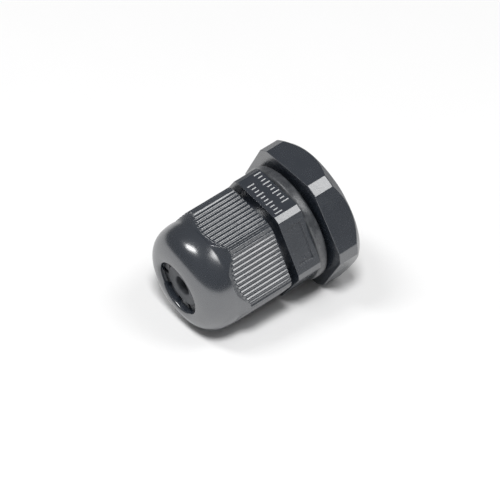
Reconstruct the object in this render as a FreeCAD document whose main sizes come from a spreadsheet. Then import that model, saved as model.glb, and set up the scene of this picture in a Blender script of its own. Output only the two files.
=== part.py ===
"""Cable gland with an M16 entry thread, modelled as six separate moulded pieces.

The gland's axis lies along Y. The dome nut points to -Y, the entry thread to +Y, and +Z is up.
The origin is the centre of the sealing face, where the flat gasket meets the panel. Sizes are in
millimetres.

Every piece is drawn along its own local Z, with z = 0 at the end nearest the entry, and its
Placement turns that Z to point at the dome end. Local Y then points up.
"""
import FreeCAD, Part
import math
import os
import re
import Sketcher

doc = FreeCAD.newDocument("CableGland")

# ---------------------------------------------------------------- driving dimensions
DIMENSIONS = {
    # threads, drawn as plain cylinders at their outer diameter
    "thread_radius": 8.0,
    "thread_play": 0.05,
    "thread_chamfer": 0.8,
    "entry_thread_length": 7.6,
    "upper_thread_length": 5.9,
    # gland body
    "body_flats": 19.0,
    "flange_thickness": 4.53,
    "flange_corner_cut": 0.71,
    "body_turn": -4.95,
    "passage_radius": 5.0,
    "socket_radius": 7.0,
    "socket_depth": 2.0,
    "panel_length": 6.7,
    "panel_width": 2.8,
    "panel_sink": 0.2,
    "pip_radius": 0.22,
    "pip_offset": 2.7,
    # flat gasket
    "gasket_thickness": 1.8,
    "gasket_radius": 10.17,
    "gasket_play": 0.08,
    # lock nut
    "locknut_flats": 22.75,
    "locknut_thickness": 5.05,
    "locknut_corner_cut": 1.31,
    "locknut_gap": 0.65,
    "locknut_face_radius": 11.2,
    "locknut_bevel_run": 2.2,
    "locknut_bevel_rise": 2.45,
    # dome nut, outside
    "nut_gap": 1.21,
    "nut_turn": -6.13,
    "rib_apothem": 9.36,
    "rib_height": 0.22,
    "rib_length": 9.15,
    "run_out": 1.6,
    "valley_width": 0.5,
    "valley_floor": 0.26,
    "skirt_length": 9.76,
    "skirt_rounding": 2.66,
    "dome_radius": 9.27,
    "dome_length": 15.16,
    "dome_rounding": 4.15,
    "aperture_radius": 4.63,
    "aperture_lip": 0.4,
    # dome nut, inside
    "nut_thread_length": 5.7,
    "cavity_radius": 7.25,
    "cone_start": 10.06,
    "cone_end": 14.21,
    # clamping cage
    "cage_lift": 0.8,
    "cage_turn": -1.0,
    "cage_radius": 6.9,
    "cage_shoulder": 6.98,
    "cage_length": 10.47,
    "cage_bore": 5.55,
    "cage_waist": 6.5,
    "cage_ledge": 0.9,
    "ledge_radius": 4.7,
    "tip_radius": 4.7,
    "tip_bore": 3.72,
    "finger_slot": 0.8,
    "finger_root": 2.4,
    # seal bush
    "seal_radius": 5.5,
    "seal_shoulder": 5.55,
    "seal_length": 9.75,
    "seal_nose": 3.58,
    "seal_bore": 1.65,
}

SIDES = 6
FINGERS = 10
RIBS_PER_SIDE = 13

sheet = doc.addObject("Spreadsheet::Sheet", "Dimensions")
for row, (alias, size) in enumerate(DIMENSIONS.items(), start=1):
    sheet.set(f"A{row}", alias.replace("_", " "))
    sheet.set(f"B{row}", str(size))
    sheet.setAlias(f"B{row}", alias)
doc.recompute()


# ---------------------------------------------------------------- sketches
def cells(expression):
    """The expression with every dimension's name pointing at its cell in the sheet."""
    return re.sub(r"[a-z]+(?:_[a-z]+)+", lambda name: f"Dimensions.{name.group()}", expression)


def new_body(label):
    body = doc.addObject("PartDesign::Body", label)
    body.Label = label
    return body


def origin_part(body, role):
    """One of the body's own origin planes or axes."""
    return next(item for item in body.Origin.OriginFeatures if item.Role == role)


def new_sketch(body, name, plane="XZ_Plane", lift="0"):
    """A sketch on one of the body's origin planes, lifted along that plane's normal."""
    sketch = body.newObject("Sketcher::SketchObject", name)
    sketch.AttachmentSupport = [(origin_part(body, plane), "")]
    sketch.MapMode = "FlatFace"
    sketch.setExpression("AttachmentOffset.Base.z", cells(lift))
    return sketch


def new_side_sketch(body, name, bearing, distance):
    """A sketch facing away from the axis at this bearing, with its y along the axis.

    The XZ plane faces -Y, a bearing of -90 degrees, so it swings round by the bearing plus 90.
    """
    swing = bearing + 90
    sketch = new_sketch(body, name)
    sketch.AttachmentOffset = FreeCAD.Placement(
        FreeCAD.Vector(0, 0, 0), FreeCAD.Rotation(FreeCAD.Vector(0, 1, 0), swing)
    )
    sketch.setExpression("AttachmentOffset.Base.x", cells(f"({distance}) * sin({swing}deg)"))
    sketch.setExpression("AttachmentOffset.Base.z", cells(f"({distance}) * cos({swing}deg)"))
    return sketch


def constrain(sketch, constraint, expression):
    """Adds a dimension to the sketch and binds it to the sheet."""
    index = sketch.addConstraint(constraint)
    sketch.setExpression(f"Constraints[{index}]", cells(expression))


def draw_outline(sketch, corners):
    """A closed outline of straight lines with both coordinates of every corner bound."""
    count = len(corners)
    ring = [
        FreeCAD.Vector(10 + math.cos(2 * math.pi * k / count), 10 + math.sin(2 * math.pi * k / count), 0)
        for k in range(count)
    ]
    for k in range(count):
        sketch.addGeometry(Part.LineSegment(ring[k], ring[(k + 1) % count]), False)
    for k in range(count):
        sketch.addConstraint(Sketcher.Constraint("Coincident", k, 2, (k + 1) % count, 1))
    for k, (across, along) in enumerate(corners):
        constrain(sketch, Sketcher.Constraint("DistanceX", -1, 1, k, 1, 1.0), across)
        constrain(sketch, Sketcher.Constraint("DistanceY", -1, 1, k, 1, 1.0), along)


def draw_circle(sketch, radius, across="0", along="0"):
    """A circle whose radius and centre are bound."""
    circle = sketch.addGeometry(Part.Circle(FreeCAD.Vector(0, 0, 0), FreeCAD.Vector(0, 0, 1), 1), False)
    constrain(sketch, Sketcher.Constraint("DistanceX", -1, 1, circle, 3, 0.0), across)
    constrain(sketch, Sketcher.Constraint("DistanceY", -1, 1, circle, 3, 0.0), along)
    constrain(sketch, Sketcher.Constraint("Radius", circle, 1.0), radius)


def draw_rounded_hexagon(sketch, across_flats, rounding):
    """A hexagon about the origin with two flats level and its corners rounded.

    Six lines touch a construction circle half the width across flats in radius, 60 degrees apart,
    and six arcs of one radius join them.
    """
    arcs = []
    ends = []
    for k in range(SIDES):
        corner = math.radians(60 * k)
        centre = FreeCAD.Vector(8 * math.cos(corner), 8 * math.sin(corner), 0)
        circle = Part.Circle(centre, FreeCAD.Vector(0, 0, 1), 2)
        arcs.append(Part.ArcOfCircle(circle, corner - math.pi / 6, corner + math.pi / 6))
        ends.append((arcs[-1].StartPoint, arcs[-1].EndPoint))
    for k in range(SIDES):
        sketch.addGeometry(Part.LineSegment(ends[k][1], ends[(k + 1) % SIDES][0]), False)
    for arc in arcs:
        sketch.addGeometry(arc, False)
    guide = sketch.addGeometry(Part.Circle(FreeCAD.Vector(0, 0, 0), FreeCAD.Vector(0, 0, 1), 9), True)
    sketch.addConstraint(Sketcher.Constraint("Coincident", guide, 3, -1, 1))
    for k in range(SIDES):
        sketch.addConstraint(Sketcher.Constraint("Tangent", k, guide))
        sketch.addConstraint(Sketcher.Constraint("Tangent", SIDES + k, 2, k, 1))
        sketch.addConstraint(Sketcher.Constraint("Tangent", k, 2, SIDES + (k + 1) % SIDES, 1))
    for k in range(1, SIDES):
        sketch.addConstraint(Sketcher.Constraint("Equal", SIDES, SIDES + k))
        sketch.addConstraint(Sketcher.Constraint("Angle", k - 1, k, math.radians(60)))
    sketch.addConstraint(Sketcher.Constraint("Horizontal", 1))
    constrain(sketch, Sketcher.Constraint("Radius", guide, 9.0), f"({across_flats}) / 2")
    constrain(sketch, Sketcher.Constraint("Radius", SIDES, 2.0), rounding)


def draw_hexagon(sketch, across_flats):
    """A sharp hexagon about the origin with two flats level."""
    rim = [
        FreeCAD.Vector(10 * math.cos(math.radians(60 * k)), 10 * math.sin(math.radians(60 * k)), 0)
        for k in range(SIDES)
    ]
    for k in range(SIDES):
        sketch.addGeometry(Part.LineSegment(rim[k], rim[(k + 1) % SIDES]), False)
    guide = sketch.addGeometry(Part.Circle(FreeCAD.Vector(0, 0, 0), FreeCAD.Vector(0, 0, 1), 10), True)
    sketch.addConstraint(Sketcher.Constraint("Coincident", guide, 3, -1, 1))
    for k in range(SIDES):
        sketch.addConstraint(Sketcher.Constraint("Coincident", k, 2, (k + 1) % SIDES, 1))
        sketch.addConstraint(Sketcher.Constraint("PointOnObject", k, 1, guide))
    for k in range(1, SIDES):
        sketch.addConstraint(Sketcher.Constraint("Equal", 0, k))
    sketch.addConstraint(Sketcher.Constraint("PointOnObject", 0, 1, -1))
    constrain(sketch, Sketcher.Constraint("Radius", guide, 10.0), f"({across_flats}) / sqrt(3)")


# ---------------------------------------------------------------- features
volume_so_far = {}


def settle(body, feature, removes=False):
    """Recomputes, and stops unless the feature changed the volume the way it should."""
    doc.recompute()
    if {"Invalid", "Error"} & set(feature.State) or feature.Shape.isNull():
        raise RuntimeError(f"{body.Label}: {feature.Name} failed")
    change = feature.Shape.Volume - volume_so_far.get(body.Label, 0.0)
    if (change >= 0) if removes else (change <= 0):
        raise RuntimeError(f"{body.Label}: {feature.Name} changes the volume by {change:.4f}")
    volume_so_far[body.Label] = feature.Shape.Volume
    return feature


def revolve(body, name, corners, cut=False):
    """Turns an outline of (radius, height) corners about the axis, to add it or to cut it away."""
    sketch = new_sketch(body, f"{name}_outline")
    draw_outline(sketch, corners)
    feature = body.newObject("PartDesign::Groove" if cut else "PartDesign::Revolution", name)
    feature.Profile = sketch
    feature.ReferenceAxis = (sketch, ["V_Axis"])
    feature.Angle = 360
    return settle(body, feature, removes=cut)


def pad(body, name, sketch, length):
    """Raises a sketch along its normal."""
    feature = body.newObject("PartDesign::Pad", name)
    feature.Profile = sketch
    feature.setExpression("Length", cells(length))
    return settle(body, feature)


def pocket(body, name, sketch, depth):
    """Sinks a sketch against its normal."""
    feature = body.newObject("PartDesign::Pocket", name)
    feature.Profile = sketch
    feature.setExpression("Length", cells(depth))
    return settle(body, feature, removes=True)


def repeat_round(body, name, source, count):
    """Repeats a cut evenly round the axis."""
    feature = body.newObject("PartDesign::PolarPattern", name)
    feature.Originals = [source]
    feature.Axis = (origin_part(body, "Z_Axis"), [""])
    feature.Angle = 360
    feature.Occurrences = count
    body.Tip = feature
    return settle(body, feature, removes=True)


def ease_edges(body, kind, name, base, size, wanted):
    """Chamfers or fillets the edges of the base for which wanted(edge) holds."""
    edges = [f"Edge{k}" for k, edge in enumerate(base.Shape.Edges, start=1) if wanted(edge)]
    if not edges:
        raise RuntimeError(f"{body.Label}: {name} finds no edge")
    feature = body.newObject(f"PartDesign::{kind}", name)
    feature.Base = (base, edges)
    feature.setExpression("Size" if kind == "Chamfer" else "Radius", cells(size))
    return settle(body, feature, removes=True)


def is_rim(edge, radius, height):
    """Whether an edge is a full circle about the axis with this radius and height."""
    if not isinstance(edge.Curve, Part.Circle) or len(edge.Vertexes) > 1:
        return False
    return abs(edge.Curve.Radius - radius) < 0.001 and abs(edge.Curve.Center.z - height) < 0.001


def is_corner_edge(edge, length):
    """Whether an edge is straight, along the axis and of this length."""
    if not isinstance(edge.Curve, Part.Line):
        return False
    start, end = (vertex.Point for vertex in edge.Vertexes)
    return abs(abs(end.z - start.z) - length) < 0.001


def place(body, start, turn=0.0):
    """Points the body's Z along -Y from this Y, and turns it about the gland's axis."""
    lay_down = FreeCAD.Rotation(FreeCAD.Vector(1, 0, 0), 90)
    about_axis = FreeCAD.Rotation(FreeCAD.Vector(0, 0, 1), turn)
    body.Placement = FreeCAD.Placement(FreeCAD.Vector(0, 0, 0), lay_down.multiply(about_axis))
    body.setExpression("Placement.Base.y", cells(start))


# ---------------------------------------------------------------- gland body
def make_gland_body():
    """A hexagonal flange between the entry thread and the thread that carries the dome nut."""
    body = new_body("gland_body")
    flange_start = "entry_thread_length + gasket_thickness"
    top = f"{flange_start} + flange_thickness + upper_thread_length"
    revolve(
        body,
        "threaded_stem",
        [
            ("passage_radius", "0"),
            ("thread_radius - thread_chamfer", "0"),
            ("thread_radius", "thread_chamfer"),
            ("thread_radius", top),
            ("socket_radius", top),
            ("socket_radius", f"{top} - socket_depth"),
            ("passage_radius", f"{top} - socket_depth"),
        ],
    )
    outline = new_sketch(body, "flange_outline", "XY_Plane", flange_start)
    draw_hexagon(outline, "body_flats")
    draw_circle(outline, "passage_radius")
    flange = pad(body, "flange", outline, "flange_thickness")
    ease_edges(
        body, "Chamfer", "flange_corners", flange, "flange_corner_cut",
        lambda edge: is_corner_edge(edge, DIMENSIONS["flange_thickness"]),
    )
    # One flat holds a shallow sunk panel with a moulded pip near its lower end.
    middle = f"{flange_start} + flange_thickness / 2"
    panel = new_side_sketch(body, "panel_outline", 30, "body_flats / 2")
    draw_outline(
        panel,
        [
            ("-panel_length / 2", f"{middle} - panel_width / 2"),
            ("panel_length / 2", f"{middle} - panel_width / 2"),
            ("panel_length / 2", f"{middle} + panel_width / 2"),
            ("-panel_length / 2", f"{middle} + panel_width / 2"),
        ],
    )
    pocket(body, "sunk_panel", panel, "panel_sink")
    pip = new_side_sketch(body, "pip_outline", 30, "body_flats / 2 - panel_sink")
    draw_circle(pip, "pip_radius", "-pip_offset", middle)
    pad(body, "pip", pip, "panel_sink")
    place(body, "entry_thread_length", DIMENSIONS["body_turn"])
    return body


# ---------------------------------------------------------------- flat gasket
def make_flat_gasket():
    """A rubber washer that slips over the entry thread and seals the flange to the panel."""
    body = new_body("flat_gasket")
    outline = new_sketch(body, "washer_outline", "XY_Plane")
    draw_circle(outline, "gasket_radius")
    draw_circle(outline, "thread_radius + gasket_play")
    pad(body, "washer", outline, "gasket_thickness")
    place(body, "0")
    return body


# ---------------------------------------------------------------- lock nut
def make_lock_nut():
    """A hexagon nut with flat-cut corners, bevelled on the face that turns away from the panel."""
    body = new_body("lock_nut")
    outline = new_sketch(body, "nut_outline", "XY_Plane")
    draw_hexagon(outline, "locknut_flats")
    draw_circle(outline, "thread_radius + thread_play")
    blank = pad(body, "nut_blank", outline, "locknut_thickness")
    ease_edges(
        body, "Chamfer", "cut_corners", blank, "locknut_corner_cut",
        lambda edge: is_corner_edge(edge, DIMENSIONS["locknut_thickness"]),
    )
    outer = "locknut_face_radius + locknut_bevel_run"
    revolve(
        body,
        "bevelled_face",
        [("locknut_face_radius", "0"), (outer, "0"), (outer, "locknut_bevel_rise")],
        cut=True,
    )
    place(body, "locknut_gap + locknut_thickness")
    return body


# ---------------------------------------------------------------- dome nut
def valley_spots():
    """Where the valleys between the ribs lie over one corner of the ribbed hexagon.

    The valleys are spaced evenly along the outline, from the middle of one flat round its corner
    to the middle of the next. Each spot is (x, y, bearing of the outward normal).
    """
    apothem = DIMENSIONS["rib_apothem"]
    rounding = DIMENSIONS["skirt_rounding"]
    half_arc = rounding * math.pi / 6
    half_flat = (apothem - rounding) * math.tan(math.pi / 6)
    pitch = 2 * (half_arc + half_flat) / RIBS_PER_SIDE
    hub = (apothem - rounding) / math.cos(math.pi / 6)
    for k in range(RIBS_PER_SIDE):
        travel = (k - (RIBS_PER_SIDE - 1) / 2) * pitch
        on_arc = max(-half_arc, min(half_arc, travel))
        bearing = on_arc / rounding
        straight = travel - on_arc
        x = hub + rounding * math.cos(bearing) - straight * math.sin(bearing)
        y = rounding * math.sin(bearing) + straight * math.cos(bearing)
        yield x, y, bearing


def draw_valleys(sketch):
    """One corner's valleys: trapezoids that narrow inwards and reach past the ribs' roots."""
    depth = DIMENSIONS["rib_height"]
    top = DIMENSIONS["valley_width"] / 2
    floor = DIMENSIONS["valley_floor"] / 2
    spread = (top - floor) / depth
    shape = (
        (-depth * 2, floor - depth * spread),
        (depth, top + depth * spread),
        (depth, -top - depth * spread),
        (-depth * 2, -floor + depth * spread),
    )
    for x, y, bearing in valley_spots():
        outward = FreeCAD.Vector(math.cos(bearing), math.sin(bearing), 0)
        sideways = FreeCAD.Vector(-math.sin(bearing), math.cos(bearing), 0)
        spot = FreeCAD.Vector(x, y, 0)
        corners = [spot + outward * out + sideways * side for out, side in shape]
        first = sketch.GeometryCount
        for k in range(4):
            sketch.addGeometry(Part.LineSegment(corners[k], corners[(k + 1) % 4]), False)
        for k in range(4):
            sketch.addConstraint(Sketcher.Constraint("Coincident", first + k, 2, first + (k + 1) % 4, 1))
            sketch.addConstraint(Sketcher.Constraint("Block", first + k))


def make_dome_nut():
    """A hexagonal skirt covered in fine ribs, under a smooth dome with a round aperture."""
    body = new_body("dome_nut")
    envelope = new_sketch(body, "rib_envelope", "XY_Plane")
    draw_rounded_hexagon(envelope, "rib_apothem * 2", "skirt_rounding")
    pad(body, "rib_blank", envelope, "skirt_length")
    valleys = new_sketch(body, "valley_outlines", "XY_Plane", "skirt_length")
    draw_valleys(valleys)
    cut = pocket(body, "corner_valleys", valleys, "skirt_length")
    repeat_round(body, "valleys", cut, SIDES)
    # The ribs run out on a 45 degree cone, so they end in an arc on every flat.
    revolve(
        body,
        "rib_run_out",
        [
            ("rib_apothem - run_out", "rib_length + run_out"),
            ("rib_apothem + run_out", "rib_length - run_out"),
            ("rib_apothem + run_out", "rib_length + run_out"),
        ],
        cut=True,
    )
    root = new_sketch(body, "skirt_outline", "XY_Plane")
    draw_rounded_hexagon(root, "(rib_apothem - rib_height) * 2", "skirt_rounding - rib_height")
    pad(body, "skirt", root, "skirt_length")
    dome = revolve(
        body,
        "dome",
        [
            ("aperture_radius", "rib_length"),
            ("dome_radius", "rib_length"),
            ("dome_radius", "dome_length"),
            ("aperture_radius", "dome_length"),
        ],
    )
    crown = DIMENSIONS["dome_length"]
    dome = ease_edges(
        body, "Fillet", "dome_shoulder", dome, "dome_rounding",
        lambda edge: is_rim(edge, DIMENSIONS["dome_radius"], crown),
    )
    ease_edges(
        body, "Chamfer", "eased_lip", dome, "aperture_lip",
        lambda edge: is_rim(edge, DIMENSIONS["aperture_radius"], crown),
    )
    bore = "thread_radius + thread_play"
    revolve(
        body,
        "inside",
        [
            ("0", "0"),
            (bore, "0"),
            (bore, "nut_thread_length"),
            ("cavity_radius", "nut_thread_length"),
            ("cavity_radius", "cone_start"),
            ("aperture_radius", "cone_end"),
            ("0", "cone_end"),
        ],
        cut=True,
    )
    place(body, "-(gasket_thickness + flange_thickness + nut_gap)", DIMENSIONS["nut_turn"])
    return body


# ---------------------------------------------------------------- clamping cage and seal
# The cage stands this far clear of the socket's floor while the dome nut is loose.
CAGE_START = (
    "-(gasket_thickness + flange_thickness + upper_thread_length - socket_depth) - cage_lift"
)


def make_clamping_cage():
    """A ring of springy fingers that the dome nut's cone closes on the seal and the cable."""
    body = new_body("clamping_cage")
    revolve(
        body,
        "cage_blank",
        [
            ("ledge_radius", "0"),
            ("cage_radius", "0"),
            ("cage_radius", "cage_shoulder"),
            ("tip_radius", "cage_length"),
            ("tip_bore", "cage_length"),
            ("cage_bore", "cage_waist"),
            ("cage_bore", "cage_ledge"),
            ("ledge_radius", "cage_ledge"),
        ],
    )
    outline = new_sketch(body, "slot_outline", "XY_Plane", "cage_length")
    draw_outline(
        outline,
        [
            ("tip_bore / 2", "-finger_slot / 2"),
            ("cage_radius * 1.1", "-finger_slot / 2"),
            ("cage_radius * 1.1", "finger_slot / 2"),
            ("tip_bore / 2", "finger_slot / 2"),
        ],
    )
    slot = pocket(body, "slot", outline, "cage_length - finger_root")
    repeat_round(body, "finger_slots", slot, FINGERS)
    place(body, CAGE_START, DIMENSIONS["cage_turn"])
    return body


def make_seal_bush():
    """A rubber bush inside the fingers, bored for the cable."""
    body = new_body("seal_bush")
    revolve(
        body,
        "bush",
        [
            ("seal_bore", "0"),
            ("seal_radius", "0"),
            ("seal_radius", "seal_shoulder"),
            ("seal_nose", "seal_length"),
            ("seal_bore", "seal_length"),
        ],
    )
    place(body, f"{CAGE_START} - cage_ledge")
    return body


# ---------------------------------------------------------------- build, check and write
pieces = [
    make_gland_body(),
    make_flat_gasket(),
    make_lock_nut(),
    make_dome_nut(),
    make_clamping_cage(),
    make_seal_bush(),
]
doc.recompute()

for item in doc.Objects:
    if {"Invalid", "Error"} & set(item.State):
        raise RuntimeError(f"{item.Label} did not recompute")
for piece in pieces:
    shape = piece.Shape
    if shape.isNull() or not shape.isValid() or len(shape.Solids) != 1:
        raise RuntimeError(f"{piece.Label} isn't one valid solid")

os.makedirs("parts", exist_ok=True)
for piece in pieces:
    piece.Shape.exportStep(f"parts/{piece.Label}.step")
    print(f"{piece.Label}: {piece.Shape.Volume:.1f} mm3")
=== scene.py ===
"""Blender scene of a moulded cable gland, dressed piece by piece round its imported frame.

Every piece is drawn in millimetres along its own local Z, with z = 0 at the end nearest the entry.
Its Seat then lays that Z along -Y, turns it about the gland's axis and scales it to metres, so a
finished mesh stands in the frame and its object stays at the origin.
"""
import logging
import math
from dataclasses import dataclass, field
from enum import Enum
from typing import Any, Callable, Iterable, Iterator, Mapping, Sequence, Union

import bmesh
import bpy
from mathutils import Matrix, Quaternion, Vector


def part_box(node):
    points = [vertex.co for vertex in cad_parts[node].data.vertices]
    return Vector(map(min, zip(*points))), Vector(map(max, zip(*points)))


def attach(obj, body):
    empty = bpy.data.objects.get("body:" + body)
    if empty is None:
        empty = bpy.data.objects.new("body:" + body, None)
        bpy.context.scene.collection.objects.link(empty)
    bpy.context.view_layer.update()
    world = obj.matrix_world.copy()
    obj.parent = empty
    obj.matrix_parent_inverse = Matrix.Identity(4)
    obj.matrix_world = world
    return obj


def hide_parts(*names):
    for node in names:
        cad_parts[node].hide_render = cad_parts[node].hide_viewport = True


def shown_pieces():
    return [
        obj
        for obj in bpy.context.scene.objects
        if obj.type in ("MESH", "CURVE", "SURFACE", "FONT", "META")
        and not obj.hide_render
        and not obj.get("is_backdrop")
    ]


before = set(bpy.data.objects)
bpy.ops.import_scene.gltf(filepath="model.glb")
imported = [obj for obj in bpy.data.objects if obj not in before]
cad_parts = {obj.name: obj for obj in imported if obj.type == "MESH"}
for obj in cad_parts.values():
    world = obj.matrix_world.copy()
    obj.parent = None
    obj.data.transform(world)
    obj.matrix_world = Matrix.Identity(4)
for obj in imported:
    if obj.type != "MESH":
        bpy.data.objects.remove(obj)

LOG = logging.getLogger("cable_gland")
MM = 0.001
SIDES = 6
PITCH = 1.5
MIX_COLOUR_SOCKETS = (0, 6, 7, 2)
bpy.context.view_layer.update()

Point = tuple[float, float]


# ---- places and outlines
@dataclass(frozen=True)
class Seat:
    """Where a piece's local Z starts on the gland's axis, and its turn about that axis.

    Attributes:
        start: Y of the piece's entry end, in metres.
        turn: Turn about the axis, in degrees.
    """

    start: float
    turn: float = 0.0

    def matrix(self) -> Matrix:
        """Returns the matrix that takes local millimetres to the frame's metres."""
        lay_down = Matrix.Rotation(math.radians(90), 4, "X")
        about_axis = Matrix.Rotation(math.radians(self.turn), 4, "Z")
        return Matrix.Translation((0, self.start, 0)) @ lay_down @ about_axis @ Matrix.Scale(MM, 4)

    @staticmethod
    def of_node(node: str, turn: float = 0.0) -> "Seat":
        """Returns the seat of a CAD node, whose entry end is its highest Y."""
        return Seat(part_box(node)[1].y, turn)


def arc(centre: Point, radius: float, start: float, end: float, count: int) -> list[Point]:
    """Points along a circular arc of an outline.

    Args:
        centre: Radius and height of the arc's centre.
        radius: The arc's own radius.
        start: First angle in degrees, from the outward direction towards +z.
        end: Last angle in degrees.
        count: How many points, both ends included.

    Returns:
        The (radius, height) points.
    """
    angles = (math.radians(start + (end - start) * k / (count - 1)) for k in range(count))
    return [(centre[0] + radius * math.cos(a), centre[1] + radius * math.sin(a)) for a in angles]


def smoothstep(share: float) -> float:
    """Returns 0 below 0, 1 above 1 and an eased rise between them."""
    share = max(0.0, min(1.0, share))
    return share * share * (3 - 2 * share)


# ---- solids from mesh operators
def trace(bm: bmesh.types.BMesh, outline: Sequence[Point], turn: float = 0.0) -> list[Any]:
    """Draws a closed outline in the half plane at this turn about the axis.

    Args:
        bm: The mesh that receives it.
        outline: (radius, height) corners.
        turn: Angle about the axis, in radians.

    Returns:
        The new vertices and edges.
    """
    out = (math.cos(turn), math.sin(turn))
    verts = [bm.verts.new((r * out[0], r * out[1], z)) for r, z in outline]
    edges = [bm.edges.new((a, b)) for a, b in zip(verts, verts[1:] + verts[:1])]
    return verts + edges


def lathe(outline: Sequence[Point], steps: int) -> bmesh.types.BMesh:
    """Turns a closed outline right round the axis.

    Args:
        outline: (radius, height) corners, clear of the axis.
        steps: How many segments go round.

    Returns:
        A mesh with one closed ring.
    """
    bm = bmesh.new()
    bmesh.ops.spin(
        bm, geom=trace(bm, outline), cent=(0, 0, 0), axis=(0, 0, 1), dvec=(0, 0, 0),
        angle=math.tau, steps=steps, use_merge=True,
    )
    return bm


def hexagon(flats: float, low: float, high: float, corner_cut: float) -> bmesh.types.BMesh:
    """A solid hexagonal block with its six long corners cut flat.

    Args:
        flats: Width across flats.
        low: Height of its lower face.
        high: Height of its upper face.
        corner_cut: How far the cut reaches along each flat.

    Returns:
        The block's mesh, with corners at bearings 0, 60 and so on.
    """
    bm = bmesh.new()
    bmesh.ops.create_circle(bm, cap_ends=True, segments=SIDES, radius=flats / math.sqrt(3))
    bmesh.ops.translate(bm, verts=bm.verts, vec=(0, 0, low))
    raised = bmesh.ops.extrude_face_region(bm, geom=list(bm.faces), use_keep_orig=True)
    top = [item for item in raised["geom"] if isinstance(item, bmesh.types.BMVert)]
    bmesh.ops.translate(bm, verts=top, vec=(0, 0, high - low))
    turn_to = -math.atan2(top[0].co.y, top[0].co.x) % math.radians(60)
    bmesh.ops.rotate(bm, verts=bm.verts, cent=(0, 0, 0), matrix=Matrix.Rotation(turn_to, 3, "Z"))
    upright = [e for e in bm.edges if abs(e.verts[0].co.z - e.verts[1].co.z) > (high - low) / 2]
    bmesh.ops.bevel(
        bm, geom=upright, offset=corner_cut, offset_type="OFFSET", segments=1, profile=0.5,
        affect="EDGES", material=-1,
    )
    bmesh.ops.recalc_face_normals(bm, faces=bm.faces)
    return bm


class Carve(Enum):
    """How one solid shapes another."""

    KEEP_SHARED = "INTERSECT"
    CUT_AWAY = "DIFFERENCE"


def carve(target: bmesh.types.BMesh, tool: bmesh.types.BMesh, how: Carve) -> bmesh.types.BMesh:
    """Shapes one closed solid by another with the boolean modifier.

    Args:
        target: The solid that is shaped. It is freed.
        tool: The solid that shapes it. It is freed.
        how: Which part is kept.

    Returns:
        The shaped solid.
    """
    objects = []
    for name, bm in (("target", target), ("tool", tool)):
        mesh = bpy.data.meshes.new(name)
        bmesh.ops.recalc_face_normals(bm, faces=bm.faces)
        bm.to_mesh(mesh)
        bm.free()
        objects.append(bpy.data.objects.new(name, mesh))
        bpy.context.scene.collection.objects.link(objects[-1])
    cut = objects[0].modifiers.new("carve", "BOOLEAN")
    cut.operation = how.value
    cut.solver = "EXACT"
    cut.object = objects[1]
    shaped = objects[0].evaluated_get(bpy.context.evaluated_depsgraph_get())
    result = bmesh.new()
    result.from_mesh(shaped.to_mesh())
    shaped.to_mesh_clear()
    for item in objects:
        mesh = item.data
        bpy.data.objects.remove(item)
        bpy.data.meshes.remove(mesh)
    bmesh.ops.remove_doubles(result, verts=result.verts, dist=1e-4)
    bmesh.ops.dissolve_limit(
        result, angle_limit=math.radians(0.2), verts=result.verts, edges=result.edges,
    )
    return result


def add_shell(bm: bmesh.types.BMesh, shell: bmesh.types.BMesh) -> None:
    """Adds another closed shell to a mesh and frees it."""
    mesh = bpy.data.meshes.new("shell")
    shell.to_mesh(mesh)
    shell.free()
    bm.from_mesh(mesh)
    bpy.data.meshes.remove(mesh)


# ---- threads
class ThreadSide(Enum):
    """Which wall a thread's ridge stands on."""

    OUTSIDE = 1
    INSIDE = -1


@dataclass(frozen=True)
class Thread:
    """A right-handed helical ridge, closed at both ends and rooted in its wall.

    Attributes:
        side: Whether it stands outwards on a stem or inwards in a bore.
        low: Height at which it starts.
        high: Height at which it ends.
        crest: Radius of the ridge's crest.
        crest_half: Half the crest's width.
        root: Radius of the wall it stands on.
        sink: How deep its base goes into the wall.
        slope: Gain in half width for each millimetre towards the root.
        fade: Turns over which its ends run out.
        steps: Segments in each turn.
    """

    side: ThreadSide
    low: float
    high: float
    crest: float
    crest_half: float
    root: float
    sink: float = 0.12
    slope: float = 0.577
    fade: float = 0.2
    steps: int = 72

    def ridge(self, seat: Seat, limit: Callable[[float], float]) -> bmesh.types.BMesh:
        """Winds the ridge so that all the gland's threads share one lead.

        Args:
            seat: Where the piece stands, which sets the helix's phase.
            limit: Largest radius that the ridge may have at a height.

        Returns:
            The ridge's mesh.
        """
        base = self.root - self.side.value * self.sink
        base_half = self.crest_half + abs(self.crest - base) * self.slope
        between = PITCH / 2 if self.side is ThreadSide.INSIDE else 0.0
        zero = seat.start / MM + PITCH * seat.turn / 360 + between
        first = (self.low - zero) / PITCH
        turns = (self.high - self.low) / PITCH
        outline = [
            (base, self.low - base_half), (self.crest, self.low - self.crest_half),
            (self.crest, self.low + self.crest_half), (base, self.low + base_half),
        ]
        bm = bmesh.new()
        count = math.ceil(turns * self.steps)
        bmesh.ops.spin(
            bm, geom=trace(bm, outline, first * math.tau), cent=(0, 0, 0), axis=(0, 0, 1),
            dvec=(0, 0, turns * PITCH / count), angle=turns * math.tau, steps=count,
            use_merge=False,
        )
        bmesh.ops.holes_fill(bm, edges=bm.edges, sides=0)
        for vert in bm.verts:
            radius = math.hypot(vert.co.x, vert.co.y)
            bearing = math.atan2(vert.co.y, vert.co.x) / math.tau
            along = (vert.co.z - zero) / PITCH
            wound = bearing + round(along - bearing) - first
            grown = smoothstep(wound / self.fade) * smoothstep((turns - wound) / self.fade)
            wanted = base + (radius - base) * grown
            if self.side is ThreadSide.OUTSIDE:
                wanted = min(wanted, max(base, limit(vert.co.z)))
            vert.co.xy *= wanted / radius
        bmesh.ops.recalc_face_normals(bm, faces=bm.faces)
        return bm


# ---- shader graphs
Value = Union[float, "Wire"]


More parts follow.
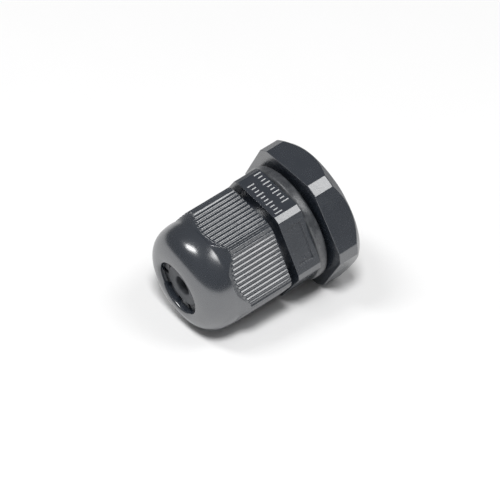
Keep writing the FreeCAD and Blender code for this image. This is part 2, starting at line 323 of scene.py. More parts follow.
class Wire:
    """A shader socket's number, which takes part in sums as a Python value does."""

    def __init__(self, graph: "Graph", socket: bpy.types.NodeSocket) -> None:
        """Keeps the graph and the output socket that gives the number."""
        self.graph = graph
        self.socket = socket

    def math(self, operation: str, *others: Value) -> "Wire":
        """Returns the result of one Math node on this number and the others."""
        inputs = dict(enumerate((self, *others)))
        return self.graph.node("ShaderNodeMath", {"operation": operation}, inputs)

    def __add__(self, other: Value) -> "Wire":
        """Returns the sum."""
        return self.math("ADD", other)

    __radd__ = __add__

    def __sub__(self, other: Value) -> "Wire":
        """Returns the difference."""
        return self.math("SUBTRACT", other)

    def __rsub__(self, other: Value) -> "Wire":
        """Returns the difference, taken the other way round."""
        inputs = {0: other, 1: self}
        return self.graph.node("ShaderNodeMath", {"operation": "SUBTRACT"}, inputs)

    def __mul__(self, other: Value) -> "Wire":
        """Returns the product."""
        return self.math("MULTIPLY", other)

    __rmul__ = __mul__

    def clamped(self) -> "Wire":
        """Returns the number held between 0 and 1."""
        return self.graph.node("ShaderNodeClamp", {}, {"Value": self})

    def above(self, low: float, high: float) -> "Wire":
        """Returns an eased rise from 0 at low to 1 at high."""
        settings = {"interpolation_type": "SMOOTHSTEP"}
        inputs = {"Value": self, "From Min": low, "From Max": high}
        return self.graph.node("ShaderNodeMapRange", settings, inputs)


class Graph:
    """The node graph of one material, with its Principled shader."""

    def __init__(self, name: str) -> None:
        """Makes a material of this name with a Principled shader on its output."""
        self.material = bpy.data.materials.new(name)
        self.material.use_nodes = True
        self.nodes = self.material.node_tree.nodes
        self.links = self.material.node_tree.links
        self.nodes.clear()
        output = self.nodes.new("ShaderNodeOutputMaterial")
        self.shader = self.nodes.new("ShaderNodeBsdfPrincipled")
        self.links.new(self.shader.outputs["BSDF"], output.inputs["Surface"])
        self.place = self.node("ShaderNodeTexCoord", {}, {}, "Object")

    def node(
        self, kind: str, settings: Mapping[str, Any], inputs: Mapping[Any, Any], outlet: Any = 0
    ) -> Wire:
        """Adds a node.

        Args:
            kind: The node's type name.
            settings: Its properties, set first.
            inputs: Values or wires for its sockets, by name or number.
            outlet: Which output to return.

        Returns:
            The chosen output as a wire.
        """
        made = self.nodes.new(kind)
        for name, setting in settings.items():
            setattr(made, name, setting)
        self.fill(made, inputs)
        return Wire(self, made.outputs[outlet])

    def fill(self, made: bpy.types.Node, inputs: Mapping[Any, Any]) -> None:
        """Sets or links a node's sockets."""
        for name, given in inputs.items():
            if isinstance(given, Wire):
                self.links.new(given.socket, made.inputs[name])
            else:
                made.inputs[name].default_value = given

    def noise(self, per_metre: float, detail: float = 2.0, roughness: float = 0.5) -> Wire:
        """Returns a noise from 0 to 1 with this many features in a metre."""
        inputs = {"Vector": self.place, "Scale": per_metre, "Detail": detail}
        inputs["Roughness"] = roughness
        return self.node("ShaderNodeTexNoise", {"noise_dimensions": "3D"}, inputs, "Fac")

    def specks(self, per_metre: float) -> Wire:
        """Returns the distance from scattered points, in cell sizes."""
        inputs = {"Vector": self.place, "Scale": per_metre, "Randomness": 1.0}
        return self.node("ShaderNodeTexVoronoi", {"feature": "F1"}, inputs, "Distance")

    def tint(self, mask: Wire, low: Sequence[float], high: Sequence[float]) -> Wire:
        """Returns a colour between two, as the mask says."""
        factor, first, second, result = MIX_COLOUR_SOCKETS
        inputs = {factor: mask, first: (*low, 1.0), second: (*high, 1.0)}
        return self.node("ShaderNodeMix", {"data_type": "RGBA"}, inputs, result)

    def bump(self, height: Wire, depth: float) -> Wire:
        """Returns a normal shaken by a height from 0 to 1 that stands for this many metres."""
        inputs = {"Height": height, "Strength": 1.0, "Distance": depth}
        return self.node("ShaderNodeBump", {}, inputs, "Normal")


# ---- finishes
@dataclass(frozen=True)
class Nylon:
    """Dark slate moulded nylon, from satin to glossy.

    Attributes:
        name: The material's name.
        dark: The darker of its two tones.
        pale: The paler tone.
        roughness: Mean roughness.
        spread: How far the roughness varies.
        grain: Grains of the mould's texture in a metre.
        grain_depth: Depth of that grain, in metres.
        shine: Specular level.
        index: Refractive index.
        ribbed_from: Y in metres above which the ribs' duller mould finish begins, if there is one.
        ribbed_gain: How much rougher that finish is.
    """

    name: str
    dark: tuple[float, float, float] = (0.0180, 0.0235, 0.0330)
    pale: tuple[float, float, float] = (0.0250, 0.0310, 0.0410)
    roughness: float = 0.42
    spread: float = 0.10
    grain: float = 5200.0
    grain_depth: float = 0.000012
    shine: float = 1.0
    index: float = 1.85
    ribbed_from: Union[float, None] = None
    ribbed_gain: float = 0.05

    def material(self) -> bpy.types.Material:
        """Returns the finish as a node material."""
        graph = Graph(self.name)
        flow = graph.noise(260.0, 3.0)
        fine = graph.noise(self.grain, 2.0, 0.6)
        dust = 1 - graph.specks(1900.0).above(0.05, 0.16)
        tone = (flow * 0.6 + fine * 0.4).above(0.3, 0.7)
        rough = self.roughness + (flow - 0.5) * self.spread + dust * 0.08
        if self.ribbed_from is not None:
            along = graph.node("ShaderNodeSeparateXYZ", {}, {"Vector": graph.place}, "Y")
            ribbed = along.above(self.ribbed_from, self.ribbed_from + 0.3 * MM)
            rough = rough + ribbed * self.ribbed_gain
        lumps = fine + graph.noise(self.grain * 0.31, 1.0) * 0.8
        graph.fill(
            graph.shader,
            {
                "Base Color": graph.tint(tone, self.dark, self.pale),
                "Roughness": (rough + (fine - 0.5) * self.spread).clamped(),
                "Specular IOR Level": self.shine,
                "IOR": self.index,
                "Normal": graph.bump(lumps, self.grain_depth),
            },
        )
        return graph.material


@dataclass(frozen=True)
class Rubber:
    """Matt dark rubber with a bloom of fine pale specks.

    Attributes:
        name: The material's name.
        dark: The rubber's tone.
        pale: The tone of its bloom.
        roughness: Mean roughness.
        speck: Tone of the specks.
        shine: Specular level.
    """

    name: str
    dark: tuple[float, float, float] = (0.050, 0.053, 0.057)
    pale: tuple[float, float, float] = (0.085, 0.088, 0.093)
    roughness: float = 0.55
    speck: float = 0.5
    shine: float = 0.6

    def material(self) -> bpy.types.Material:
        """Returns the finish as a node material."""
        graph = Graph(self.name)
        cloud = graph.noise(900.0, 4.0, 0.6)
        fine = graph.noise(7000.0, 2.0, 0.6)
        specks = (1 - graph.specks(1500.0).above(0.06, 0.2)) * self.speck
        tone = (cloud.above(0.35, 0.7) * 0.6 + fine * 0.25 + specks).clamped()
        graph.fill(
            graph.shader,
            {
                "Base Color": graph.tint(tone, self.dark, self.pale),
                "Roughness": (self.roughness + (fine - 0.5) * 0.2).clamped(),
                "Specular IOR Level": self.shine,
                "Normal": graph.bump(fine + cloud * 0.7, 0.00002),
            },
        )
        return graph.material


@dataclass(frozen=True)
class Paper:
    """A plain pale studio floor.

    Attributes:
        name: The material's name.
        colour: Its colour.
        mottling: Tone of its darker patches, as a share of the colour.
    """

    name: str
    colour: tuple[float, float, float] = (0.96, 0.96, 0.96)
    mottling: float = 0.985

    def material(self) -> bpy.types.Material:
        """Returns the finish as a node material."""
        graph = Graph(self.name)
        mottle = graph.noise(60.0, 2.0)
        darker = tuple(c * self.mottling for c in self.colour)
        graph.fill(
            graph.shader,
            {
                "Base Color": graph.tint(mottle, darker, self.colour),
                "Roughness": 0.9,
                "Specular IOR Level": 0.1,
            },
        )
        return graph.material


@dataclass(frozen=True)
class Finishes:
    """The finish of each material slot."""

    body: Nylon = Nylon("satin_slate", roughness=0.24, grain_depth=0.000006, index=1.75)
    gasket: Rubber = Rubber(
        "specked_rubber", dark=(0.030, 0.033, 0.038), pale=(0.100, 0.105, 0.112), roughness=0.30,
        speck=0.8, shine=1.0,
    )
    lock_nut: Nylon = Nylon("nut_slate", roughness=0.26, grain_depth=0.000006, index=1.78)
    dome_nut: Nylon = Nylon(
        "polished_slate", roughness=0.22, spread=0.05, grain_depth=0.0000008, ribbed_from=-0.0172,
    )
    cage: Nylon = Nylon(
        "finger_slate", dark=(0.045, 0.049, 0.056), pale=(0.075, 0.080, 0.088), roughness=0.35,
        grain_depth=0.000006,
    )
    seal: Rubber = Rubber("grey_rubber", dark=(0.055, 0.060, 0.068), pale=(0.095, 0.101, 0.112))


# ---- finished pieces
@dataclass(frozen=True)
class Softening:
    """How a piece's edges are rounded.

    Attributes:
        width: Width of the rounding, in millimetres.
        segments: Facets across it.
        angle: Edges sharper than this many degrees are rounded.
    """

    width: float = 0.12
    segments: int = 3
    angle: float = 28.0

    def apply(self, piece: bpy.types.Object) -> None:
        """Adds the rounding to a finished piece."""
        bevel = piece.modifiers.new("rounded_edges", "BEVEL")
        bevel.width = self.width * MM
        bevel.segments = self.segments
        bevel.limit_method = "ANGLE"
        bevel.angle_limit = math.radians(self.angle)
        bevel.harden_normals = True
        bevel.miter_outer = "MITER_ARC"


@dataclass(frozen=True)
class Dress:
    """What a piece stands for and wears.

    Attributes:
        node: The CAD node that it replaces.
        body: The CAD body that it rides on.
        slot: Name of a material slot; not used.
        material: Its material.
    """

    node: str
    body: str
    slot: str
    material: bpy.types.Material


def finish_piece(
    bm: bmesh.types.BMesh,
    name: str,
    seat: Seat,
    dress: Dress,
    softening: Union[Softening, None] = None,
    sharp: float = 35.0,
) -> bpy.types.Object:
    """Stands a mesh in the frame, shades it and gives it to its CAD body.

    Args:
        bm: The piece in local millimetres. It is freed.
        name: The piece's name.
        seat: Where it stands.
        dress: What it stands for and wears.
        softening: How its edges are rounded, if they are.
        sharp: Edges bent by more than this many degrees are shaded sharp.

    Returns:
        The finished object.
    """
    bmesh.ops.transform(bm, matrix=seat.matrix(), verts=bm.verts)
    bmesh.ops.recalc_face_normals(bm, faces=bm.faces)
    mesh = bpy.data.meshes.new(name)
    bm.to_mesh(mesh)
    bm.free()
    mesh.materials.append(dress.material)
    mesh.shade_smooth()
    mesh.set_sharp_from_angle(angle=math.radians(sharp))
    piece = bpy.data.objects.new(name, mesh)
    bpy.context.scene.collection.objects.link(piece)
    if softening is not None:
        softening.apply(piece)
    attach(piece, dress.body)
    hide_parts(dress.node)
    LOG.info("%s: %d faces", name, len(mesh.polygons))
    return piece


# ---- gland body
@dataclass
class GlandBody:
    """A hexagonal flange between the entry thread and the thread that carries the dome nut.

    Attributes:
        finish: What it is moulded in.
        seat: Where it stands.
        core: Radius of the stem under the threads.
        crest: Radius of the threads' crests.
        length: Height of the whole body.
        flange_low: Height of the face that the gasket seals.
        flange_high: Height of the face that the dome nut closes on.
        flats: Width across the flange's flats.
        corner_cut: How far its corner cuts reach along each flat.
        passage: Radius of the cable's passage.
        socket: Radius of the cage's socket.
        socket_depth: Depth of that socket.
        neck: Plain length of stem between the flange and the upper thread.
        panel: Length, width and depth of the sunk panel.
        pip_radius: Radius of the pip in the panel.
        pip_offset: Distance of the pip from the panel's middle.
        stroke_rows: First place, count and Y in millimetres of each row of strokes.
        stroke_pitch: Distance between strokes.
        stroke_lengths: Length of every third stroke, and of the others.
        stroke_width: Width of a stroke at its foot.
        stroke_rise: Width of a stroke's slopes.
        stroke_slope: Rise of those slopes, as a share of their width.
    """

    finish: Nylon
    seat: Seat = field(default_factory=lambda: Seat.of_node("gland_body", -4.5))
    core: float = 7.3
    crest: float = 7.98
    length: float = 19.83
    flange_low: float = 9.4
    flange_high: float = 13.93
    flats: float = 19.0
    corner_cut: float = 0.71
    passage: float = 5.0
    socket: float = 7.0
    socket_depth: float = 2.0
    neck: float = 1.4
    panel: tuple[float, float, float] = (6.7, 2.8, 0.3)
    pip_radius: float = 0.28
    pip_offset: float = 2.7
    stroke_rows: tuple[tuple[float, int, float], ...] = ((-4.15, 10, -5.05), (-2.85, 10, -2.75))
    stroke_pitch: float = 0.8
    stroke_lengths: tuple[float, float] = (1.7, 1.2)
    stroke_width: float = 0.34
    stroke_rise: float = 0.18
    stroke_slope: float = 0.49

    def stem(self) -> bmesh.types.BMesh:
        """Returns the hollow stem without its threads."""
        top = self.length
        floor = top - self.socket_depth
        outline = [
            (self.passage + 0.5, 0.0), (self.core - 0.3, 0.0), (self.core, 0.3),
            (self.core, top - 0.12), (self.core - 0.1, top), (self.socket + 0.05, top),
            (self.socket, top - 0.08), (self.socket, floor), (self.passage, floor),
            (self.passage, 0.5),
        ]
        return lathe(outline, 144)

    def flange(self) -> bmesh.types.BMesh:
        """Returns the hexagonal flange with its sunk panel, bored inside the stem's wall."""
        block = hexagon(self.flats, self.flange_low, self.flange_high, self.corner_cut)
        core = (self.core + self.passage) / 2
        middle = (self.flange_low + self.flange_high) / 2
        drill = bmesh.new()
        bmesh.ops.create_cone(
            drill, cap_ends=True, segments=96, radius1=core, radius2=core, depth=20.0,
            matrix=Matrix.Translation((0, 0, middle)),
        )
        block = carve(block, drill, Carve.CUT_AWAY)
        length, width, depth = self.panel
        box = bmesh.new()
        bmesh.ops.create_cube(box, size=1.0)
        bmesh.ops.scale(box, verts=box.verts, vec=(2 * depth, length, width))
        bmesh.ops.translate(box, verts=box.verts, vec=(self.flats / 2, 0, middle))
        bmesh.ops.rotate(
            box, verts=box.verts, cent=(0, 0, 0), matrix=Matrix.Rotation(math.radians(30), 3, "Z")
        )
        return carve(block, box, Carve.CUT_AWAY)

    def limit(self, height: float) -> float:
        """Returns the largest radius that the thread may have at a height."""
        return min(self.core + 0.05 + height, self.core + 0.1 + self.length - height, self.crest)

    def threads(self) -> Iterator[bmesh.types.BMesh]:
        """Yields the entry thread and the upper thread."""
        upper = self.flange_high + self.neck
        for low, high in ((0.72, self.flange_low), (upper, self.length - 0.72)):
            thread = Thread(ThreadSide.OUTSIDE, low, high, self.crest, 0.13, self.core)
            yield thread.ridge(self.seat, self.limit)

    def marks(self) -> bmesh.types.BMesh:
        """Returns two rows of plain raised strokes on one flat, and the pip in the panel."""
        bm = bmesh.new()
        long, short = self.stroke_lengths
        for first, count, row_y in self.stroke_rows:
            height = self.seat.start / MM - row_y
            for k in range(count):
                length = short if k % 3 else long
                across = first + k * self.stroke_pitch
                stroke = Matrix.Translation((-across, self.flats / 2, height))
                made = bmesh.ops.create_cube(bm, size=1.0)
                bmesh.ops.scale(
                    bm, verts=made["verts"],
                    vec=(self.stroke_width, self.stroke_rise * 2.02, length),
                )
                bmesh.ops.transform(bm, matrix=stroke, verts=made["verts"])
        bmesh.ops.bevel(
            bm, geom=list(bm.edges), offset=self.stroke_rise, offset_type="OFFSET", segments=1,
            profile=0.5, affect="EDGES", material=-1,
        )
        on_flat = Matrix.Translation((0, -self.flats / 2, 0))
        bmesh.ops.scale(bm, verts=bm.verts, vec=(1, self.stroke_slope, 1), space=on_flat)
        middle = (self.flange_low + self.flange_high) / 2
        swing = Matrix.Rotation(math.radians(30), 4, "Z")
        floor = self.flats / 2 - self.panel[2]
        dot = Matrix.Translation((floor, -self.pip_offset, middle))
        dot = dot @ Matrix.Scale(0.8, 4, (1, 0, 0))
        bmesh.ops.create_icosphere(bm, subdivisions=3, radius=self.pip_radius, matrix=swing @ dot)
        return bm

    def build(self) -> None:
        """Makes the body and its marks."""
        dress = Dress("gland_body", "gland_body", "body_nylon", self.finish.material())
        bm = self.stem()
        add_shell(bm, self.flange())
        finish_piece(bm, "gland_body_shell", self.seat, dress, Softening(0.16, 3))
        ridges = bmesh.new()
        for ridge in self.threads():
            add_shell(ridges, ridge)
        finish_piece(ridges, "gland_body_threads", self.seat, dress, Softening(0.06, 2))
        finish_piece(self.marks(), "gland_body_marks", self.seat, dress, sharp=20.0)


# ---- flat gasket
@dataclass
class FlatGasket:
    """A rubber washer under the flange, moulded with a soft rim."""

    finish: Rubber
    seat: Seat = field(default_factory=lambda: Seat.of_node("flat_gasket"))
    thickness: float = 1.8
    radius: float = 10.17
    bore: float = 8.08
    rim: float = 0.4

    def build(self) -> None:
        """Makes the gasket."""
        outer = self.radius - self.rim
        outline = [
            (self.bore, 0.0),
            *arc((outer, self.rim), self.rim, -90, 0, 7),
            *arc((outer, self.thickness - self.rim), self.rim, 0, 90, 7),
            (self.bore, self.thickness),
        ]
        bm = lathe(outline, 192)
        dress = Dress("flat_gasket", "gasket", "gasket_rubber", self.finish.material())
        finish_piece(bm, "gasket_ring", self.seat, dress, Softening(0.1, 2, 60.0))


# ---- lock nut
@dataclass
class LockNut:
    """A hexagon nut with flat-cut corners, bevelled on the face that turns from the panel."""

    finish: Nylon
    seat: Seat = field(default_factory=lambda: Seat.of_node("lock_nut"))
    flats: float = 22.75
    thickness: float = 5.05
    corner_cut: float = 1.31
    face_radius: float = 11.2
    bevel_run: float = 2.2
    bevel_rise: float = 2.45
    bore: float = 8.05
    crest: float = 7.36
    lead_in: float = 0.4

    def build(self) -> None:
        """Makes the nut and its thread."""
        outer = self.face_radius + self.bevel_run
        outline = [
            (self.bore + self.lead_in, 0.0), (self.face_radius, 0.0), (outer, self.bevel_rise),
            (outer, self.thickness + 1.0), (self.bore + self.lead_in, self.thickness + 1.0),
            (self.bore + self.lead_in, self.thickness), (self.bore, self.thickness - self.lead_in),
            (self.bore, self.lead_in),
        ]
        block = hexagon(self.flats, 0.0, self.thickness, self.corner_cut)
        bm = carve(block, lathe(outline, 192), Carve.KEEP_SHARED)
        dress = Dress("lock_nut", "lock_nut", "locknut_nylon", self.finish.material())
        finish_piece(bm, "lock_nut_ring", self.seat, dress, Softening(0.12, 3))
        thread = Thread(
            ThreadSide.INSIDE, 0.75, self.thickness - 0.75, self.crest, 0.2, self.bore,
        )
        ridge = thread.ridge(self.seat, lambda height: self.bore)
        finish_piece(ridge, "lock_nut_thread", self.seat, dress, Softening(0.06, 2))


# ---- dome nut
@dataclass(frozen=True)
class Station:
    """One upright line of the skirt, between two neighbouring facets of a rib.

    Attributes:
        root: Its foot on the ribs' root outline, across the axis.
        normal: The outline's outward normal there.
        height: How far the rib rises above the root.
        end: Height on the nut at which the rib ends.
    """

    root: Vector
    normal: Vector
    height: float
    end: float


@dataclass
class DomeNut:
    """A hexagonal skirt covered in fine ribs, under a smooth dome with a round aperture.

    Attributes:
        finish: What it is moulded in.
        seat: Where it stands.
        ribs_per_side: Ribs between two neighbouring corners.
        facets_per_rib: Lines of the grid on each rib.
        crest_share: Half width of a rib's rounded crest, in half pitches.
        rib_apothem: Distance of the crests from the axis in the middle of a side.
        rib_height: Depth of the valleys.
        rib_length: Height at which the ribs end in the middle of a side.
        rib_run_out: How much sooner they end for each millimetre further out.
        rib_end: Height over which a rib's end eases out.
        skirt_rounding: Radius of the skirt's rounded corners.
        crease: Heights between which a flat side turns into the dome.
        corner_climb: Shift of those heights for each millimetre that a corner stands out.
        dome_radius: Largest radius of the dome.
        dome_length: Height of the whole nut.
        dome_start: Height at which the dome starts to close.
        dome_sweep: Degrees at which its first arc meets the second.
        dome_roundings: Radii of the two arcs.
        aperture: Radius of the cable's opening.
        lip: Radius of the rounding round the opening.
        bore: Radius of the threaded bore.
        crest: Radius of the thread's crests.
        lead_in: Width of the chamfer at the open end.
        thread_length: Depth of the threaded bore.
        cavity: Radius of the space for the cage.
        cone_start: Height at which the closing cone begins.
        cone_end: Height at which it meets the opening.
        soft: Radius of the rounding on the open end.
        plain_ring: Height of the one ring of points on the straight skirt.
        fine_rings: Lowest height, highest height and count of the rings round the crease.
    """

    finish: Nylon
    seat: Seat = field(default_factory=lambda: Seat.of_node("dome_nut", -6.13))
    ribs_per_side: int = 13
    facets_per_rib: int = 12
    crest_share: float = 0.45
    rib_apothem: float = 9.36
    rib_height: float = 0.23
    rib_length: float = 9.35
    rib_run_out: float = 1.1
    rib_end: float = 0.16
    skirt_rounding: float = 2.66
    crease: tuple[float, float] = (9.74, 9.95)
    corner_climb: tuple[float, float] = (-1.95, 0.25)
    dome_radius: float = 9.36
    dome_length: float = 15.16
    dome_start: float = 10.05
    dome_sweep: float = 12.0
    dome_roundings: tuple[float, float] = (9.0, 4.09)
    aperture: float = 4.63
    lip: float = 0.45
    bore: float = 8.05
    crest: float = 7.36
    lead_in: float = 0.4
    thread_length: float = 5.7
    cavity: float = 7.25
    cone_start: float = 10.06
    cone_end: float = 14.21
    soft: float = 0.12
    plain_ring: float = 3.9
    fine_rings: tuple[float, float, int] = (7.8, 10.8, 40)

    def station(self, travel: float, height: float, sector: float) -> Station:
        """Finds one line of the skirt.

        Args:
            travel: Distance along the outline from the corner.
            height: The rib's rise there.
            sector: Bearing of the corner, in radians.

        Returns:
            The line's foot, normal and heights.
        """
        rounding = self.skirt_rounding
        half_arc = rounding * math.pi / SIDES
        hub = (self.rib_apothem - rounding) / math.cos(math.pi / SIDES)
        on_arc = max(-half_arc, min(half_arc, travel))
        normal = Vector((math.cos(on_arc / rounding), math.sin(on_arc / rounding)))
        root = Vector((hub, 0.0)) + normal * (rounding - self.rib_height)
        root += Vector((-normal.y, normal.x)) * (travel - on_arc)
        crest = (root + normal * self.rib_height).length
        swing = Matrix.Rotation(sector, 2)
        end = self.rib_length - self.rib_run_out * (crest - self.rib_apothem)
        return Station(swing @ root, swing @ normal, height, end)

    def rib_profile(self, share: float) -> float:
        """Returns a rib's height, from 1 on its rounded crest down straight flanks to 0.

        Args:
            share: Distance from the crest in half pitches.

        Returns:
            The height, as a share of the whole rib's.
        """
        crest = self.crest_share
        bend = 1 / (crest * (2 - crest))
        if share < crest:
            return 1 - bend * share * share
        return 2 * bend * crest * (1 - share)

    def stations(self) -> list[Station]:
        """Returns the skirt's lines all the way round, with a valley on every corner."""
        half_flat = (self.rib_apothem - self.skirt_rounding) * math.tan(math.pi / SIDES)
        pitch = 2 * (half_flat + self.skirt_rounding * math.pi / SIDES) / self.ribs_per_side
        lines = self.ribs_per_side * self.facets_per_rib
        found = []
        for sector in range(SIDES):
            for k in range(lines):
                travel = ((k + 0.5) / self.facets_per_rib - self.ribs_per_side / 2) * pitch
                share = abs(2 * ((k + 0.5) / self.facets_per_rib % 1.0) - 1)
                rise = self.rib_height * self.rib_profile(share)
                found.append(self.station(travel, rise, sector * math.pi / 3))
        return found

    def skirt_point(self, station: Station, height: float, inset: float = 0.0) -> Vector:
        """A point of the skirt, ribbed below, easing into the dome above.

        Args:
            station: The line that it is on.
            height: Its height on the nut.
            inset: How far it is drawn in from the outline.

        Returns:
            The point.
        """
        corner = max(0.0, station.root.length - self.dome_radius)
        rise = station.height * smoothstep((station.end - height) / self.rib_end)
        flat = station.root + station.normal * (rise - inset)
        low, high = (z + climb * corner for z, climb in zip(self.crease, self.corner_climb))
        blend = math.sin(math.pi / 2 * max(0.0, min(1.0, (height - low) / (high - low))))
        up = max(0.0, height - self.dome_start)
        base = self.dome_roundings[0]
        dome = self.dome_radius - base + math.sqrt(base * base - up * up)
        flat *= 1 + (dome / flat.length - 1) * blend
        return Vector((flat.x, flat.y, height))

    def dome_outline(self, above: float) -> list[Point]:
        """The dome's outline above the skirt's rings.

        Args:
            above: Height on the dome's first arc at which it starts.

        Returns:
            The (radius, height) points up to the lip.
        """
        base, crown = self.dome_roundings
        sweep = math.radians(self.dome_sweep)
        first = math.degrees(math.asin((above - self.dome_start) / base))
        low = (self.dome_radius - base, self.dome_start)
        step = base - crown
        high = (low[0] + step * math.cos(sweep), low[1] + step * math.sin(sweep))
        over_lip = math.degrees(math.acos((self.aperture + self.lip - high[0]) / crown))
        return (
            arc(low, base, first, self.dome_sweep, 8)[:-1]
            + arc(high, crown, self.dome_sweep, over_lip, 20)[:-1]
        )

    def rings(self) -> list[Callable[[Station], Vector]]:
        """The nut's rings, up the outside from the open end and back down the inside.

        Returns:
            Rules, each of which gives the point of one station on its ring.
        """

        def round_ring(radius: float, height: float) -> Callable[[Station], Vector]:
            """Returns the rule of a round ring."""
            level = Vector((0, 0, height))
            return lambda station: (station.root.normalized() * radius).to_3d() + level

        def skirt_ring(height: float, inset: float = 0.0) -> Callable[[Station], Vector]:
            """Returns the rule of a ring on the skirt."""
            return lambda station: self.skirt_point(station, height, inset)

        rules = [round_ring(self.bore + self.lead_in, 0.0)]
        for drawn_in, height in arc((-self.soft, self.soft), self.soft, -90, 0, 4):
            rules.append(skirt_ring(height, -drawn_in))
        rules.append(skirt_ring(self.plain_ring))
        first, last, steps = self.fine_rings
        rules += [skirt_ring(first + (last - first) * k / steps) for k in range(steps)]
        outline = self.dome_outline(last)
        lip = (self.aperture + self.lip, self.dome_length - self.lip)
        outline += arc(lip, self.lip, 90, 180, 7)
        outline += [
            (self.aperture, self.cone_end), (self.cavity, self.cone_start),
            (self.cavity, self.thread_length), (self.bore, self.thread_length),
            (self.bore, self.lead_in),
        ]
        return rules + [round_ring(radius, height) for radius, height in outline]

    def shell(self) -> bmesh.types.BMesh:
        """Returns the nut as a grid wrapped round the axis and closed on itself."""
        stations = self.stations()
        rules = self.rings()
        across, along = len(stations), len(rules)
        bm = bmesh.new()
        bmesh.ops.create_grid(bm, x_segments=across, y_segments=along, size=0.5)
        for vert in bm.verts:
            column = round((vert.co.x + 0.5) * across) % across
            row = round((vert.co.y + 0.5) * along) % along
            vert.co = rules[row](stations[column])
        bmesh.ops.remove_doubles(bm, verts=bm.verts, dist=1e-4)
        return bm

    def build(self) -> None:
        """Makes the nut and its thread."""
        dress = Dress("dome_nut", "dome_nut", "domenut_nylon", self.finish.material())
        finish_piece(self.shell(), "dome_nut_shell", self.seat, dress, sharp=62.0)
        thread = Thread(
            ThreadSide.INSIDE, self.lead_in + 0.4, self.thread_length - 0.7, self.crest, 0.2,
            self.bore,
        )
        ridge = thread.ridge(self.seat, lambda height: self.bore)
        finish_piece(ridge, "dome_nut_thread", self.seat, dress, Softening(0.06, 2))


# ---- clamping cage and seal
@dataclass
class ClampingCage:
    """A ring of springy fingers that closes on the seal.

    Attributes:
        finish: What it is moulded in.
        seat: Where it stands.
        fingers: How many fingers it has.
        radius: Outer radius of its foot and of the straight fingers.
        shoulder: Height at which the fingers start to taper.
        length: Height of the whole cage.
        bore: Radius that holds the seal.
        waist: Height at which that bore starts to close.
        ledge: Thickness of the ledge under the seal.
        ledge_radius: Radius of the hole in the ledge.
        tip_radius: Outer radius at the tips.
        tip_bore: Inner radius at the tips.
        slot: Width of the slots.
        slot_start: Distance of a slot's inner end from the axis.
        root: Height at which the slots begin.
    """

    finish: Nylon
    seat: Seat = field(default_factory=lambda: Seat.of_node("clamping_cage", -1.0))
    fingers: int = 10
    radius: float = 6.9
    shoulder: float = 6.98
    length: float = 10.47
    bore: float = 5.55
    waist: float = 6.5
    ledge: float = 0.9
    ledge_radius: float = 4.7
    tip_radius: float = 4.7
    tip_bore: float = 3.72
    slot: float = 0.8
    slot_start: float = 1.8
    root: float = 2.4

    def build(self) -> None:
        """Makes the cage."""
        outline = [
            (self.ledge_radius, 0.0), (self.radius, 0.0), (self.radius, self.shoulder),
            (self.tip_radius, self.length), (self.tip_bore, self.length),
            (self.bore, self.waist), (self.bore, self.ledge), (self.ledge_radius, self.ledge),
        ]
        blank = lathe(outline, 160)
        slots = bmesh.new()
        reach = self.radius + 1
        for k in range(self.fingers):
            made = bmesh.ops.create_cube(slots, size=1.0)
            tall = self.length - self.root + 1
            place = (
                Matrix.Rotation(math.tau * k / self.fingers, 4, "Z")
                @ Matrix.Translation((reach / 2 + self.slot_start, 0, self.root + tall / 2))
                @ Matrix.Diagonal((reach, self.slot, tall, 1))
            )
            bmesh.ops.transform(slots, matrix=place, verts=made["verts"])
        bm = carve(blank, slots, Carve.CUT_AWAY)
        dress = Dress("clamping_cage", "insert", "cage_nylon", self.finish.material())
        finish_piece(bm, "cage_fingers", self.seat, dress, Softening(0.14, 3))


@dataclass
class SealBush:
    """A rubber bush inside the fingers, bored for the cable."""

    finish: Rubber
    seat: Seat = field(default_factory=lambda: Seat.of_node("seal_bush"))
    radius: float = 5.5
    shoulder: float = 5.55
    length: float = 9.75
    nose: float = 3.58
    bore: float = 1.65
    mouth: float = 0.3

    def build(self) -> None:
        """Makes the seal."""
        outline = [
            (self.bore, 0.0), (self.radius, 0.0), (self.radius, self.shoulder),
            (self.nose, self.length),
            *arc((self.bore + self.mouth, self.length - self.mouth), self.mouth, 90, 180, 6),
        ]
        dress = Dress("seal_bush", "insert", "seal_rubber", self.finish.material())
        finish_piece(lathe(outline, 128), "seal_plug", self.seat, dress, Softening(0.2, 3, 20.0))


# ---- studio
@dataclass(frozen=True)
class Softbox:
    """A rectangular lamp that faces the gland.

    Attributes:
        name: The lamp's name.
        bearing: Degrees round the table's upright, from +X towards +Y.
        rise: Degrees above the table.
        distance: Metres from the gland.
        width: Its level side, in metres.
        height: Its other side, in metres.
        glow: Its radiance, where white paper in plain light gives 1.
        mirrored: Whether glossy surfaces show it.
        roll: Turn about its own aim, in degrees.
    """

    name: str
    bearing: float
    rise: float
    distance: float
    width: float
    height: float
    glow: float
    mirrored: bool = True
    roll: float = 0.0


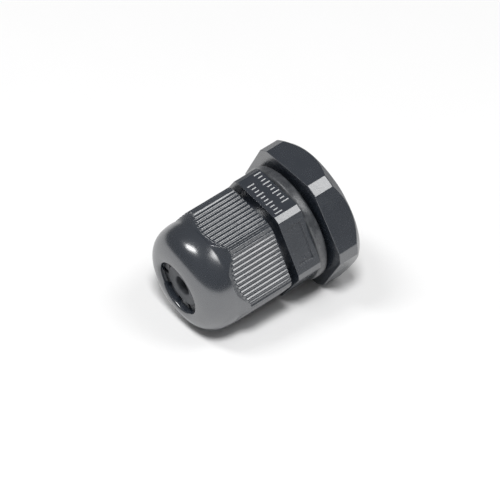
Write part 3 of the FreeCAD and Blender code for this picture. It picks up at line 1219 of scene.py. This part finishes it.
@dataclass
class Studio:
    """A pale table top, soft lamps, a dim room and the camera.

    The gland lies on its lock nut and dome nut, so the table leans a little about the frame's X.

    Attributes:
        paper: What the table is covered in.
        lean: The table's lean, in degrees.
        half: Half the table's side, in metres.
        gap: Clearance under the gland, in metres.
        room: Strength of the room's own light.
        lens: The camera's focal length.
        camera_place: Where the camera stands, in metres.
        camera_right: Its rightward direction.
        camera_back: Its backward direction.
        lamps: The lamps.
    """

    paper: Paper
    lean: float = 6.24
    half: float = 1.5
    gap: float = 0.02 * MM
    room: float = 0.15
    lens: float = 193.892
    camera_place: tuple[float, float, float] = (0.25563, -0.16922, 0.31098)
    camera_right: tuple[float, float, float] = (0.60474, 0.79171, -0.08657)
    camera_back: tuple[float, float, float] = (0.58831, -0.37080, 0.71861)
    lamps: tuple[Softbox, ...] = (
        Softbox("key_lamp", -125.0, 62.0, 0.6, 0.115, 0.26, 10.0, roll=-19.0),
        Softbox("side_lamp", 38.5, 60.8, 0.6, 0.20, 0.26, 4.5),
        Softbox("front_lamp", -38.0, 65.0, 1.0, 0.20, 0.20, 50.0, mirrored=False),
    )

    def table_frame(self) -> Matrix:
        """Returns the turn from the table's axes to the frame's."""
        return Matrix.Rotation(math.radians(-self.lean), 4, "X")

    def build_floor(self, pieces: Iterable[bpy.types.Object]) -> None:
        """Lays the table top just under the lowest point of the gland.

        Args:
            pieces: The gland's finished pieces.
        """
        upright = (self.table_frame() @ Vector((0, 0, 1, 0))).xyz
        lowest = min(upright.dot(v.co) for piece in pieces for v in piece.data.vertices)
        bm = bmesh.new()
        bmesh.ops.create_grid(bm, x_segments=4, y_segments=4, size=self.half)
        place = Matrix.Translation(upright * (lowest - self.gap)) @ self.table_frame()
        bmesh.ops.transform(bm, matrix=place, verts=bm.verts)
        mesh = bpy.data.meshes.new("table_top")
        bm.to_mesh(mesh)
        bm.free()
        mesh.materials.append(self.paper.material())
        floor = bpy.data.objects.new("table_top", mesh)
        bpy.context.scene.collection.objects.link(floor)
        floor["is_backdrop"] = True

    def build_lamps(self) -> None:
        """Hangs the lamps and lights the room."""
        for box in self.lamps:
            bearing, rise = math.radians(box.bearing), math.radians(box.rise)
            level = math.cos(rise)
            aim = (math.cos(bearing) * level, math.sin(bearing) * level, math.sin(rise), 0)
            towards = (self.table_frame() @ Vector(aim)).xyz
            light = bpy.data.lights.new(box.name, "AREA")
            light.shape = "RECTANGLE"
            light.size = box.width
            light.size_y = box.height
            light.energy = box.glow * box.width * box.height * math.pi
            lamp = bpy.data.objects.new(box.name, light)
            lamp.location = towards * box.distance
            roll = Quaternion((0, 0, 1), math.radians(box.roll))
            lamp.rotation_euler = (towards.to_track_quat("Z", "Y") @ roll).to_euler()
            lamp.visible_glossy = box.mirrored
            bpy.context.scene.collection.objects.link(lamp)
        world = bpy.data.worlds.new("room")
        world.use_nodes = True
        background = world.node_tree.nodes["Background"]
        background.inputs["Color"].default_value = (1, 1, 1, 1)
        background.inputs["Strength"].default_value = self.room
        bpy.context.scene.world = world

    def build_camera(self) -> None:
        """Sets up the camera."""
        data = bpy.data.cameras.new("camera")
        data.lens = self.lens
        data.clip_start = 0.01
        back = Vector(self.camera_back).normalized()
        right = Vector(self.camera_right)
        right = (right - back * right.dot(back)).normalized()
        up = back.cross(right)
        camera = bpy.data.objects.new("camera", data)
        turned = Matrix((right, up, back)).transposed().to_4x4()
        camera.matrix_world = Matrix.Translation(self.camera_place) @ turned
        bpy.context.scene.collection.objects.link(camera)
        bpy.context.scene.camera = camera
        bpy.context.scene.view_settings.view_transform = "Standard"


def main() -> None:
    """Builds the gland and its studio."""
    logging.basicConfig(level=logging.INFO, format="%(name)s %(message)s")
    finishes = Finishes()
    GlandBody(finishes.body).build()
    FlatGasket(finishes.gasket).build()
    LockNut(finishes.lock_nut).build()
    DomeNut(finishes.dome_nut).build()
    ClampingCage(finishes.cage).build()
    SealBush(finishes.seal).build()
    studio = Studio(Paper("table_paper"))
    studio.build_floor(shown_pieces())
    studio.build_lamps()
    studio.build_camera()


if __name__ == "__main__":
    main()
